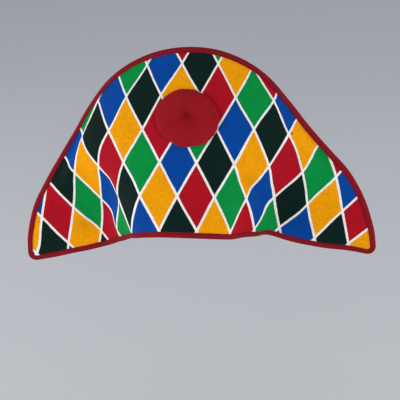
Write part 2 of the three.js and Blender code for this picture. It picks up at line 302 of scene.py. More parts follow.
# Bends a flat grid into place: place(u, v) and uvPlace(u, v) take shares of its two sides
def bentGrid(name, stepsU, stepsV, place, uvPlace):
    bm = bmesh.new()
    uvLayer = bm.loops.layers.uv.new("cut")
    bmesh.ops.create_grid(bm, x_segments=stepsU, y_segments=stepsV, size=1)
    shares = {vert: ((vert.co.x + 1) / 2, (vert.co.y + 1) / 2) for vert in bm.verts}
    for face in bm.faces:
        for loop in face.loops:
            loop[uvLayer].uv = uvPlace(*shares[loop.vert])
    for vert, share in shares.items():
        vert.co = place(*share)
    return finishedPiece(name, bm)


def finishedPiece(name, bm):
    mesh = bpy.data.meshes.new(name)
    bm.to_mesh(mesh)
    bm.free()
    for polygon in mesh.polygons:
        polygon.use_smooth = True
    piece = bpy.data.objects.new(name, mesh)
    bpy.context.collection.objects.link(piece)
    return piece


def addModifier(piece, kind, **settings):
    modifier = piece.modifiers.new(kind.lower(), kind)
    for name, value in settings.items():
        setattr(modifier, name, value)
    return modifier


# Small helpers for shader nodes
def addNode(tree, kind, **settings):
    node = tree.nodes.new(kind)
    for name, value in settings.items():
        setattr(node, name, value)
    return node


def feed(tree, socket, value):
    if isinstance(value, bpy.types.NodeSocket):
        tree.links.new(value, socket)
    else:
        socket.default_value = value


def calc(tree, operation, *terms, kind="ShaderNodeMath"):
    node = addNode(tree, kind, operation=operation)
    for socket, term in zip(node.inputs, terms):
        feed(tree, socket, term)
    return node.outputs[0]


def vectorCalc(tree, operation, *terms):
    return calc(tree, operation, *terms, kind="ShaderNodeVectorMath")


def separate(tree, vector):
    node = addNode(tree, "ShaderNodeSeparateXYZ")
    feed(tree, node.inputs[0], vector)
    return node.outputs


# Metres from a place on the cloth's UV map to one on its flat half-moon
def cutDistance(tree, x, z):
    spot = (uvMiddle + x, uvBase + z, 0)
    return vectorCalc(tree, "DISTANCE", uvPosition(tree), spot).node.outputs["Value"]


def mixColour(tree, share, first, second, blend="MIX"):
    node = addNode(tree, "ShaderNodeMix", data_type="RGBA", blend_type=blend)
    feed(tree, node.inputs["Factor"], share)
    feed(tree, node.inputs["A"], first)
    feed(tree, node.inputs["B"], second)
    return node.outputs["Result"]


def noiseValue(tree, position, scale, detail=2.0):
    node = addNode(tree, "ShaderNodeTexNoise")
    feed(tree, node.inputs["Vector"], position)
    node.inputs["Scale"].default_value = scale
    node.inputs["Detail"].default_value = detail
    return node.outputs["Fac"]


def smoothRange(tree, value, low, high):
    node = addNode(tree, "ShaderNodeMapRange", interpolation_type="SMOOTHSTEP")
    feed(tree, node.inputs["Value"], value)
    feed(tree, node.inputs["From Min"], low)
    feed(tree, node.inputs["From Max"], high)
    return node.outputs["Result"]


# A node group that takes a position and numbers
def startGroup(name, inputs, outputs):
    group = bpy.data.node_groups.new(name, "ShaderNodeTree")
    addSocket = group.interface.new_socket
    addSocket("Position", in_out="INPUT", socket_type="NodeSocketVector")
    for label, value in inputs.items():
        addSocket(label, in_out="INPUT", socket_type="NodeSocketFloat").default_value = value
    for label, kind in outputs.items():
        addSocket(label, in_out="OUTPUT", socket_type=kind)
    return group, addNode(group, "NodeGroupInput").outputs, addNode(group, "NodeGroupOutput").inputs


def placeGroup(tree, group, **values):
    node = addNode(tree, "ShaderNodeGroup", node_tree=group)
    for label, value in values.items():
        feed(tree, node.inputs[label], value)
    return node.outputs


# Colours are linear
def colour(red, green, blue):
    return (red, green, blue, 1.0)


# The printed diamonds. Lines cross where column + row is even, a diamond's middle is where it is odd.
printed = {
    "halfWidth": 0.01987,     # half a diamond, across and up
    "halfHeight": 0.03704,
    "lineAtHem": 0.00255,     # width of the white lines up to lineLow, and from lineHigh to the crown
    "lineAtCrown": 0.00205,
    "lineLow": 0.05,
    "lineHigh": 0.19,
    "lineUneven": 0.0006,
    "unevenScale": 160.0,
    "crossing": 0.035,        # how much ink fills a crossing's corners, as a share of a diamond
    "inkEdge": 0.00022,
    "wander": 0.0008,         # how far the printed lines wander
    "wanderScale": 22.0,
    "offGrain": -1.09,        # degrees
    "turnHeight": 0.100,      # the print turns about this height on the middle line
    "orange": colour(0.84, 0.328, 0.001),
    "red": colour(0.40, 0.005, 0.015),
    "green": colour(0.001, 0.250, 0.047),
    "blue": colour(0.001, 0.057, 0.30),
    "black": colour(0.003, 0.015, 0.012),
    "white": colour(0.88, 0.83, 0.80),
    "speckRadius": 0.0011,    # a drop of black ink on the front
    "speckCore": 0.8,         # share of its radius that is fully black
}
colourOrder = ("orange", "red", "green", "blue", "black")   # from left to right in every row
# Column of an orange diamond in each row. Rows count downwards, and a row repeats every 10 columns.
orangeColumns = {-4: 9, -3: 4, -2: 1, -1: 8, 0: 5, 1: 0, 2: 3, 3: 6}
# Places where the cloth was stretched and its lines are wider: x, z, reach and how much, in metres
frontStretches = (
    (-0.090, 0.035, 0.038, 0.0018),
    (-0.048, 0.020, 0.030, 0.0006),
    (0.099, 0.034, 0.035, 0.0008),
    (0.066, 0.083, 0.028, 0.0007),
)
frontPrint = {
    "middleColumn": 1.312,
    "hemRow": 2.181,
    "speck": (0.1172, 0.1172),
    "stretches": frontStretches,
}
backPrint = {"middleColumn": 4.6, "hemRow": 1.9, "stretches": ()}
# The cloth was pulled a little as it was cut and sewn: place on the front's flat half-moon, and how
# far the printed lines moved there, in metres
frontPulls = (
    (-0.225, 0.010, 0.0, -0.0060),
    (-0.190, 0.015, -0.0010, -0.0020),
    (-0.205, 0.050, 0.0, -0.0025),
    (-0.158, 0.118, 0.0, -0.0024),
    (-0.147, 0.009, 0.0010, 0.0025),
    (-0.066, 0.005, 0.0, -0.0040),
    (-0.028, 0.005, 0.0010, -0.0015),
    (0.012, 0.006, 0.0020, 0.0),
    (0.131, 0.004, -0.0010, 0.0020),
    (0.205, 0.005, -0.0020, 0.0025),
    (-0.066, 0.082, -0.0020, 0.0010),
    (0.133, 0.078, 0.0030, -0.0020),
    (0.172, 0.078, 0.0025, -0.0010),
    (-0.062, 0.152, -0.0020, 0.0020),
    (-0.024, 0.158, -0.0015, 0.0010),
    (0.015, 0.155, 0.0015, 0.0010),
    (0.074, 0.116, 0.0, 0.0030),
    (0.100, 0.150, 0.0030, -0.0010),
)
pullSpread = 0.024


def makePrintGroup():
    inputs = {"Middle Column": 0.0, "Hem Row": 2.0, "Line Width": printed["lineAtHem"]}
    tree, given, result = startGroup("harlequinPrint", inputs, {"Color": "NodeSocketColor"})
    wobble = noiseValue(tree, given["Position"], printed["wanderScale"]).node.outputs["Color"]
    drift = vectorCalc(tree, "SUBTRACT", wobble, (0.5, 0.5, 0.5))
    sway = (2 * printed["wander"],) * 3
    position = vectorCalc(tree, "MULTIPLY_ADD", drift, sway, given["Position"])
    parts = separate(tree, position)
    across, up = 1 / printed["halfWidth"], 1 / printed["halfHeight"]
    column = calc(tree, "MULTIPLY_ADD", parts["X"], across, given["Middle Column"])
    row = calc(tree, "MULTIPLY_ADD", parts["Y"], -up, given["Hem Row"])
    falling = calc(tree, "MULTIPLY", calc(tree, "ADD", column, row), 0.5)
    rising = calc(tree, "MULTIPLY", calc(tree, "SUBTRACT", column, row), 0.5)
    fallingCell, risingCell = calc(tree, "FLOOR", falling), calc(tree, "FLOOR", rising)
    cellColumn = calc(tree, "ADD", calc(tree, "ADD", fallingCell, risingCell), 1.0)
    cellRow = calc(tree, "SUBTRACT", fallingCell, risingCell)

    # Distance to the nearest printed line
    lineSpacing = 2 / math.hypot(across, up)
    gaps = []
    for value in (falling, rising):
        fromMiddle = calc(tree, "ABSOLUTE", calc(tree, "SUBTRACT", calc(tree, "FRACT", value), 0.5))
        gaps.append(calc(tree, "SUBTRACT", 0.5, fromMiddle))
    nearest = calc(tree, "SMOOTH_MIN", gaps[0], gaps[1], printed["crossing"])
    lineGap = calc(tree, "MULTIPLY", nearest, lineSpacing)
    uneven = noiseValue(tree, given["Position"], printed["unevenScale"], 3.0)
    half = calc(tree, "MULTIPLY", given["Line Width"], 0.5)
    half = calc(tree, "MULTIPLY_ADD", calc(tree, "SUBTRACT", uneven, 0.5), printed["lineUneven"], half)
    inner = calc(tree, "SUBTRACT", half, printed["inkEdge"])
    outer = calc(tree, "ADD", half, printed["inkEdge"])
    outside = smoothRange(tree, lineGap, inner, outer)

    # Which of the five colours, counted from the row's orange diamond
    orange = 0.0
    for chartRow, orangeColumn in orangeColumns.items():
        here = calc(tree, "COMPARE", cellRow, float(chartRow), 0.25)
        orange = calc(tree, "MULTIPLY_ADD", here, float(orangeColumn), orange)
    steps = calc(tree, "MULTIPLY", calc(tree, "SUBTRACT", cellColumn, orange), 0.5)
    index = calc(tree, "FLOORED_MODULO", steps, 5.0)
    ink = printed[colourOrder[0]]
    for k, name in enumerate(colourOrder[1:], start=1):
        here = calc(tree, "COMPARE", index, float(k), 0.25)
        ink = mixColour(tree, here, ink, printed[name])
    feed(tree, result["Color"], mixColour(tree, outside, printed["white"], ink))
    return tree


# The fine texture of cloth and ribbon, in metres. Each noise has its scale, detail and share of the
# tone, which is about toneMiddle.
knit = {
    "wale": 0.0009,          # width and height of a loop
    "course": 0.0007,
    "lean": 0.6,             # how far a loop's crest leans along its column
    "loopDepth": 0.5,
    "uneven": 0.35,
    "fuzz": (900.0, 4.0, 0.5),
    "slow": (45.0, 3.0, 0.7),
    "mottle": (320.0, 2.0, 1.0),
    "toneMiddle": 0.5,
}
ribbon = {
    "rib": 0.0008,
    "thread": 0.00045,
    "threadDepth": 0.35,
    "uneven": 0.3,
    "fuzz": (700.0, 3.0, 0.4),
    "slow": (60.0, 3.0, 0.8),
    "mottle": (240.0, 2.0, 0.9),
    "toneMiddle": 0.15,      # on the stitched line, which is pressed in and darker with painted shade
    "stitchTone": 0.45,      # what the tone gains away from that line, where its painted shade ends, and what the height gains
    "stitchHeight": 3.0,
    "stitchInset": 0.0011,
    "stitchInner": 0.0001,
    "stitchOuter": 0.0009,
}
textureOutputs = {"Height": "NodeSocketFloat", "Tone": "NodeSocketFloat"}


# A row of round ridges, from 0 in the valleys to 1 on the crests
def ridges(tree, place):
    return calc(tree, "ABSOLUTE", calc(tree, "SINE", calc(tree, "MULTIPLY", place, math.pi)))


# The fuzz of a texture, and the tone that its noises make together
def fuzzAndTone(tree, position, texture):
    values = {}
    tone = texture["toneMiddle"]
    for name in ("mottle", "slow", "fuzz"):
        scale, detail, share = texture[name]
        values[name] = noiseValue(tree, position, scale, detail)
        tone = calc(tree, "MULTIPLY_ADD", calc(tree, "SUBTRACT", values[name], 0.5), share, tone)
    return values["fuzz"], tone


# Fine knit: rows of small loops, with the fuzz that catches light
def makeKnitGroup():
    inputs = {"Wale": knit["wale"], "Course": knit["course"]}
    tree, given, result = startGroup("knitFace", inputs, textureOutputs)
    parts = separate(tree, given["Position"])
    ridge = ridges(tree, calc(tree, "DIVIDE", parts["X"], given["Wale"]))
    course = calc(tree, "DIVIDE", parts["Y"], given["Course"])
    loops = ridges(tree, calc(tree, "MULTIPLY_ADD", ridge, knit["lean"], course))
    depth = knit["loopDepth"]
    stitches = calc(tree, "MULTIPLY", ridge, calc(tree, "MULTIPLY_ADD", loops, depth, 1 - depth))
    fuzz, tone = fuzzAndTone(tree, given["Position"], knit)
    feed(tree, result["Height"], calc(tree, "MULTIPLY_ADD", fuzz, knit["uneven"], stitches))
    feed(tree, result["Tone"], tone)
    return tree


# Threads of a woven ribbon: position's X runs along it and Y in from its edge, where the stitched
# line is pressed in and painted darker as its shade
def makeRibGroup():
    tree, given, result = startGroup("tapeRibs", {}, textureOutputs)
    parts = separate(tree, given["Position"])
    ridge = ridges(tree, calc(tree, "DIVIDE", parts["X"], ribbon["rib"]))
    strand = ridges(tree, calc(tree, "DIVIDE", parts["Y"], ribbon["thread"]))
    depth = ribbon["threadDepth"]
    weave = calc(tree, "MULTIPLY", ridge, calc(tree, "MULTIPLY_ADD", strand, depth, 1 - depth))
    fromStitch = calc(tree, "ABSOLUTE", calc(tree, "SUBTRACT", parts["Y"], ribbon["stitchInset"]))
    clear = smoothRange(tree, fromStitch, ribbon["stitchInner"], ribbon["stitchOuter"])
    pressed = calc(tree, "MULTIPLY_ADD", clear, ribbon["stitchHeight"], weave)
    fuzz, tone = fuzzAndTone(tree, given["Position"], ribbon)
    feed(tree, result["Height"], calc(tree, "MULTIPLY_ADD", fuzz, ribbon["uneven"], pressed))
    # painted shade: the tone is darkest on the stitched line and lifts away from it
    feed(tree, result["Tone"], calc(tree, "MULTIPLY_ADD", clear, ribbon["stitchTone"], tone))
    return tree


printGroup = makePrintGroup()
knitGroup = makeKnitGroup()
ribGroup = makeRibGroup()


# Finishes: colour, how much the tone varies it, roughness and what the tone adds to it, sheen, and
# the weave's height in metres
finishColumns = ("colour", "tone", "rough", "toneRough", "sheen", "weave")
finishRows = {
    "print": (None, 0.22, 0.76, 0.15, 0.02, 0.00012),
    "backing": (colour(0.62, 0.60, 0.57), 0.10, 0.9, 0.0, 0.04, 0.00015),
    "tape": (colour(0.22, 0.006, 0.013), 0.22, 0.6, 0.2, 0.02, 0.00015),
    "rosette": (colour(0.303, 0.0078, 0.0138), 0.25, 0.85, 0.0, 0.03, 0.00012),
    "thread": (colour(0.26, 0.008, 0.014), 0.2, 0.6, 0.0, 0.03, 0.0001),
}
surface = {
    "specular": 0.06,
    "sheenRoughness": 0.45,
    "weaveStrength": 0.6,
    "threadStrength": 0.5,
    "threadTwist": 1500.0,
}


def startMaterial(name):
    material = bpy.data.materials.new(name)
    material.use_nodes = True
    tree = material.node_tree
    shader = tree.nodes["Principled BSDF"]
    shader.inputs["Specular IOR Level"].default_value = surface["specular"]
    shader.inputs["Sheen Roughness"].default_value = surface["sheenRoughness"]
    return material, tree, shader


def uvPosition(tree):
    return addNode(tree, "ShaderNodeUVMap", uv_map="cut").outputs["UV"]


# A tone from 0 to 1 makes a colour a little darker or lighter
def toned(tree, base, tone, depth):
    factor = calc(tree, "MULTIPLY_ADD", calc(tree, "SUBTRACT", tone, 0.5), depth * 2, 1.0)
    grey = addNode(tree, "ShaderNodeCombineColor")
    for socket in grey.inputs:
        feed(tree, socket, factor)
    return mixColour(tree, 1.0, base, grey.outputs[0], "MULTIPLY")


# The finish's colour, or a printed one, with its variation of tone and its weave
def dressSurface(tree, shader, finishName, tone, height, ink=None, strength=surface["weaveStrength"]):
    finish = dict(zip(finishColumns, finishRows[finishName]))
    rough = calc(tree, "MULTIPLY_ADD", tone, finish["toneRough"], finish["rough"])
    feed(tree, shader.inputs["Base Color"], toned(tree, ink or finish["colour"], tone, finish["tone"]))
    feed(tree, shader.inputs["Roughness"], rough)
    shader.inputs["Sheen Weight"].default_value = finish["sheen"]
    bump = addNode(tree, "ShaderNodeBump")
    bump.inputs["Distance"].default_value = finish["weave"]
    bump.inputs["Strength"].default_value = strength
    feed(tree, bump.inputs["Height"], height)
    feed(tree, shader.inputs["Normal"], bump.outputs["Normal"])


# Width of the white lines at each place of the cloth
def lineWidth(tree, stretches):
    height = separate(tree, uvPosition(tree))["Y"]
    up = smoothRange(tree, height, uvBase + printed["lineLow"], uvBase + printed["lineHigh"])
    change = printed["lineAtCrown"] - printed["lineAtHem"]
    width = calc(tree, "MULTIPLY_ADD", up, change, printed["lineAtHem"])
    for x, z, reach, wider in stretches:
        near = calc(tree, "SUBTRACT", 1.0, smoothRange(tree, cutDistance(tree, x, z), 0.0, reach))
        width = calc(tree, "MULTIPLY_ADD", near, wider, width)
    return width


def makePrintMaterial(name, placement):
    material, tree, shader = startMaterial(name)
    mapping = addNode(tree, "ShaderNodeMapping", vector_type="POINT")
    feed(tree, mapping.inputs["Vector"], uvPosition(tree))
    turn = math.radians(-printed["offGrain"])
    height = printed["turnHeight"]
    turned = Matrix.Rotation(turn, 3, "Z") @ Vector((uvMiddle, uvBase + height, 0))
    mapping.inputs["Location"].default_value = (-turned.x, height - turned.y, 0)
    mapping.inputs["Rotation"].default_value = (0, 0, turn)
    chart = placeGroup(tree, printGroup, **{
        "Position": mapping.outputs["Vector"],
        "Middle Column": placement["middleColumn"],
        "Hem Row": placement["hemRow"],
        "Line Width": lineWidth(tree, placement["stretches"]),
    })
    ink = chart["Color"]
    if "speck" in placement:
        radius = printed["speckRadius"]
        away = cutDistance(tree, *placement["speck"])
        clear = smoothRange(tree, away, radius * printed["speckCore"], radius)
        ink = mixColour(tree, clear, printed["black"], ink)
    face = placeGroup(tree, knitGroup, Position=uvPosition(tree))
    dressSurface(tree, shader, "print", face["Tone"], face["Height"], ink)
    return material


def makeClothMaterial(name, finishName, group, **loopSize):
    material, tree, shader = startMaterial(name)
    face = placeGroup(tree, group, Position=uvPosition(tree), **loopSize)
    dressSurface(tree, shader, finishName, face["Tone"], face["Height"])
    return material


def makeThreadMaterial():
    material, tree, shader = startMaterial("sewingThread")
    place = addNode(tree, "ShaderNodeTexCoord").outputs["Object"]
    twist = noiseValue(tree, place, surface["threadTwist"])
    dressSurface(tree, shader, "thread", twist, twist, strength=surface["threadStrength"])
    return material


bindingTape = makeClothMaterial("bindingTape", "tape", ribGroup)
foamBacking = makeClothMaterial("foamBacking", "backing", knitGroup, Wale=0.0011, Course=0.0009)
rosetteCloth = makeClothMaterial("rosetteCloth", "rosette", knitGroup, Wale=0.0008, Course=0.0007)
sewingThread = makeThreadMaterial()
print("materials made")

panel = {"stepsAcross": 300, "stepsUp": 108}


# Where a point of the cloth lies on its print
def printPoint(x, z, pulls):
    printX, printZ = x, z
    for pullX, pullZ, moveX, moveZ in pulls:
        share = math.exp(-((x - pullX) ** 2 + (z - pullZ) ** 2) / pullSpread ** 2)
        printX -= moveX * share
        printZ -= moveZ * share
    return printX, printZ


def makePanel(name, node, side, printMaterial, pulls=()):
    wall = hat["clothWall"]

    def place(u, v):
        return clothPoint(side, side * (2 * u - 1), v, wall)

    def uvPlace(u, v):
        x, z = printPoint(*cutPoint(2 * u - 1, v), pulls)
        return uvMiddle + x, uvBase + z

    cloth = bentGrid(name, panel["stepsAcross"], panel["stepsUp"], place, uvPlace)
    addModifier(cloth, "SOLIDIFY", thickness=wall, offset=-1, use_even_offset=True, material_offset=1,
                material_offset_rim=1)
    cloth.data.materials.append(printMaterial)
    cloth.data.materials.append(foamBacking)
    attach(cloth, "root")
    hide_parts(node)
    return cloth


frontMaterial = makePrintMaterial("frontPrint", frontPrint)
backMaterial = makePrintMaterial("backPrint", backPrint)
frontPanel = makePanel("front_cloth", "front_panel", 1, frontMaterial, frontPulls)
backPanel = makePanel("back_cloth", "back_panel", -1, backMaterial)
print("panels made:", len(frontPanel.data.polygons), "faces each")

tape = {
    "wall": 0.0007,
    "leg": 0.0046,           # how far it covers the cloth
    "narrower": 0.0011,      # the crown's tape covers this much less about one place on the left
    "narrowAt": -0.53,
    "narrowSpread": 0.2,
    "fit": 0.00025,          # air between the cloth and the tape
    "stationSpacing": 0.0016,
    "legWave": 0.00022,      # its edge isn't quite straight
    "waveLength": 0.007,
    "edgeBevel": 0.00018,
    "bevelAngle": 60,        # degrees from which an edge is bevelled
    "crownBend": 0.0006,     # the crown's tape begins to turn this far in from the cloth's edge
    "crownShoulder": 0.8,    # and lies at this share of its height as far out again
    "hemBend": 0.0005,       # where a hem's tape begins to turn
    "hemDrop": 0.0004,       # a hem's tape turns this far below the cloth
    "hemShoulder": 0.15,     # between this share of the wall and the same from its other face
    "crownSteps": 26,        # grid steps across each tape
    "hemSteps": 24,
    "stitchInset": ribbon["stitchInset"],
    "stitchLength": 0.0024,
    "stitchPitch": 0.0033,
    "stitchMargin": 2,       # stations without a stitch at a tape's ends
    "stitchRadius": 0.00024,
    "tuck": 0.006,           # how far a hem tape runs in under the crown tape
}


# Stations along an edge of the cloth, evenly spaced, each with directions out of the cloth and in
# from the edge
def edgeWalk(side, places):
    points = [clothPoint(side, *place, 0) for place in places]
    lengths = [0.0]
    for before, after in zip(points, points[1:]):
        lengths.append(lengths[-1] + (after - before).length)
    count = round(lengths[-1] / tape["stationSpacing"])
    walk = []
    k = 0
    for i in range(count + 1):
        run = lengths[-1] * i / count
        while k < len(places) - 2 and lengths[k + 1] < run:
            k += 1
        share = (run - lengths[k]) / (lengths[k + 1] - lengths[k])
        along, rise = (a + (b - a) * share for a, b in zip(places[k], places[k + 1]))
        walk.append({"run": run, "along": along, "rise": rise, "edge": clothPoint(side, along, rise, 0),
                     "leg": tape["leg"]})
    for i, station in enumerate(walk):
        before, after = walk[max(i - 1, 0)], walk[min(i + 1, count)]
        forward = (after["edge"] - before["edge"]).normalized()
        station["outwards"] = clothOutwards(side, station["along"], station["rise"])
        station["inwards"] = station["outwards"].cross(forward).normalized()
    return walk


# Outward direction of the cloth with its folds
def clothOutwards(side, along, rise):
    left, right, below, above = neighbours(along, rise, foldStep)
    sideways = clothPoint(side, right, rise, 0) - clothPoint(side, left, rise, 0)
    upwards = clothPoint(side, along, above, 0) - clothPoint(side, along, below, 0)
    outwards = (sideways.cross(upwards) * side).normalized()
    if abs(along) > 1 - foldStep:
        return Vector((0, -side, 0)).lerp(outwards, 0.5).normalized()
    return outwards


def offsetPoint(station, height, depth):
    return station["edge"] + station["outwards"] * height + station["inwards"] * depth


# A smooth curve through some points
def curvePoint(points, share):
    place = share * (len(points) - 1)
    i = min(int(place), len(points) - 2)
    before, start, end = points[max(i - 1, 0)], points[i], points[i + 1]
    after = points[min(i + 2, len(points) - 1)]
    return smoothCurve(start, end, (end - before) / 2, (after - start) / 2, place - i)


alongSteps = 400
hemStops = [2 * i / alongSteps - 1 for i in range(alongSteps + 1)]


def crownSection(station):
    wall, fit, leg = hat["clothWall"], tape["fit"], station["leg"]
    wave = tape["legWave"] * noise.noise(Vector((station["run"] / tape["waveLength"], 0, 0)))
    away = Vector((-station["inwards"].x, 0, -station["inwards"].z)).normalized()
    crest = Vector((station["edge"].x, 0, station["edge"].z))
    crest += away * (wall * max(station["outwards"].dot(away), 0) + fit + tape["wall"])
    height, bend = wall + fit, tape["crownBend"]
    spots = ((height, leg + wave), (height, leg / 2), (height, bend),
             (height * tape["crownShoulder"], -bend))
    front = [offsetPoint(station, *spot) for spot in spots]
    back = [Vector((point.x, -point.y, point.z)) for point in reversed(front)]
    return front + [crest] + back


def hemSection(station):
    wall, fit, leg = hat["clothWall"], tape["fit"], station["leg"]
    wave = tape["legWave"] * noise.noise(Vector((station["run"] / tape["waveLength"], 5, 0)))
    inside, outside, drop = -fit, wall + fit, fit + tape["hemDrop"]
    bend, shoulder = tape["hemBend"], wall * tape["hemShoulder"]
    spots = ((inside, leg - wave), (inside, leg / 2), (inside, bend), (shoulder, -drop),
             (wall - shoulder, -drop), (outside, bend), (outside, leg / 2), (outside, leg + wave))
    return [offsetPoint(station, *spot) for spot in spots]


def makeTape(name, node, walk, section, stepsAcross):
    sections = [section(station) for station in walk]
    width = sum((b - a).length for a, b in zip(sections[0], sections[0][1:]))
    length = walk[-1]["run"]
    count = len(walk) - 1

    def place(u, v):
        return curvePoint(sections[round(u * count)], v)

    def uvPlace(u, v):
        return u * length, min(v, 1 - v) * width

    strip = bentGrid(name, count, stepsAcross, place, uvPlace)
    addModifier(strip, "SOLIDIFY", thickness=tape["wall"], offset=1, use_even_offset=True)
    addModifier(strip, "BEVEL", width=tape["edgeBevel"], segments=2, limit_method="ANGLE",
                angle_limit=math.radians(tape["bevelAngle"]))
    strip.data.materials.append(bindingTape)
    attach(strip, "root")
    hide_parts(node)
    return strip


cornerSteps = 8
cornerRises = [i / cornerSteps for i in range(1, cornerSteps)]
closedStops = [along for along in hemStops if along >= hat["closedFrom"]]
crownPlaces = [(-along, 0) for along in closedStops]
crownPlaces += [(-1, rise) for rise in cornerRises]
crownPlaces += [(along, 1) for along in hemStops]
crownPlaces += [(1, rise) for rise in reversed(cornerRises)]
crownPlaces += [(along, 0) for along in reversed(closedStops)]
crownWalk = edgeWalk(1, crownPlaces)
for station in crownWalk:
    station["inwards"].negate()
    away = (station["along"] - tape["narrowAt"]) / tape["narrowSpread"]
    station["leg"] -= tape["narrower"] * math.exp(-away ** 2)
crownTape = makeTape("crown_tape", "crown_seam_binding", crownWalk, crownSection, tape["crownSteps"])

hemEnd = hat["closedFrom"] + tape["tuck"] / hat["cutHalfWidth"]
hemPlaces = [(along, 0) for along in hemStops if abs(along) < hemEnd]
hemPlaces = [(-hemEnd, 0)] + hemPlaces + [(hemEnd, 0)]
frontHemWalk = edgeWalk(1, hemPlaces)
backHemWalk = edgeWalk(-1, hemPlaces)
for station in backHemWalk:
    station["inwards"].negate()
hemSteps = tape["hemSteps"]
frontTape = makeTape("front_hem_tape", "front_hem_binding", frontHemWalk, hemSection, hemSteps)
backTape = makeTape("back_hem_tape", "back_hem_binding", backHemWalk, hemSection, hemSteps)
print("tapes made:", len(crownTape.data.polygons) + 2 * len(frontTape.data.polygons), "faces")

rosette = {
    "radius": 0.0330,
    "aside": 0.0026,         # its middle lies this far to +X
    "rise": 0.130,           # forehead hem to its middle, along the cloth
    "turns": 432,
    "sectionSteps": 64,
    "gathers": 36,
    "loft": 0.0066,          # height of the soft ring
    "eyeAside": 0.0007,      # how far its drawn middle lies off the ring's, across and up
    "eyeUp": 0.0042,
    "gatherDepth": 0.00045,
    "gatherMean": 0.75,      # a gather's size about which they differ
    "crestCurve": 0.75,      # below 1 the crests are rounder than the valleys
    "crestOnTop": 0.7,       # the crest's height that counts as level, on the ring and at its edge
    "crestAtEdge": 0.6,
    "edgeGather": 0.35,      # share of the gathers' depth that its outline shows
    "fineGathers": 108,      # finer folds, deeper towards the middle
    "fineDepth": 0.00015,
    "lumpDepth": 0.0006,     # soft lumps of its filling
    "lumpSpacing": 0.009,
    "lumpSlice": 0.05,
    "edgeHeight": 0.0002,    # its edge lies at least this high
    "oval": 0.0012,          # it is this much longer and narrower than round
    "ovalTurn": -0.55,       # radians from +X to its long way
    "drawnCurve": 1.5,       # how steeply it is drawn towards its eye
    "seatGap": 0.0004,       # air between the cloth and its back
    "clothMiddle": 0.05,     # its middle on its UV map, and the radii of the eye and the cloth there
    "clothEye": 0.01,
    "clothRadius": 0.03,
}
# Its section from the middle of its back, round the edge, to the middle of its front.
# out is a share of the radius, height a share of the loft, gather a share of the gathers' depth.
rosetteSection = (
    (0.0, 0.0, 0.0), (0.5, 0.0, 0.0), (0.86, 0.01, 0.05), (0.955, 0.08, 0.15), (1.0, 0.24, 0.3),
    (0.985, 0.42, 0.4), (0.93, 0.62, 0.5), (0.82, 0.83, 0.6), (0.66, 0.97, 0.75), (0.5, 1.0, 0.9),
    (0.36, 0.93, 1.0), (0.24, 0.78, 1.0), (0.14, 0.55, 0.85), (0.07, 0.32, 0.5), (0.025, 0.16, 0.2),
    (0.0, 0.12, 0.0),
)
# Slow noises round the ring: scale, shift in the noise, change from the middle to the edge, size
ringNoises = {
    "drift": (1.7, (0, 0, 0), 1.3, 0.16),       # radians by which the gathers wander
    "driftFine": (5.0, (3, 0, 0), 1.0, 0.04),
    "gatherSize": (6.0, (0, 7, 0), 0.0, 0.5),
    "finePhase": (3.0, (0, 0, 0), 0.0, 4.0),
    "edge": (2.2, (0, 0, 0), 0.0, 0.0012),      # metres by which the outline is uneven
    "edgeFine": (9.0, (0, 0, 0), 0.0, 0.0006),
    "lobes": (2.6, (0, 0, 9), 2.0, 0.0007),     # slow waves of the gathered cloth
}


def ringNoise(name, ring, out=0.0):
    scale, shift, change, size = ringNoises[name]
    return noise.noise(ring * scale + Vector(shift) + Vector((0, 0, out * change))) * size


# Round crests and sharp valleys, uneven from one gather to the next
def gatherAt(angle, ring, out):
    drift = ringNoise("drift", ring, out) + ringNoise("driftFine", ring, out)
    crest = abs(math.sin((angle + drift) * rosette["gathers"] / 2))
    size = rosette["gatherMean"] + ringNoise("gatherSize", ring)
    finePlace = (angle - drift / 2) * rosette["fineGathers"] / 2
    fine = abs(math.sin(finePlace + ringNoise("finePhase", ring)))
    return crest ** rosette["crestCurve"] * size, fine


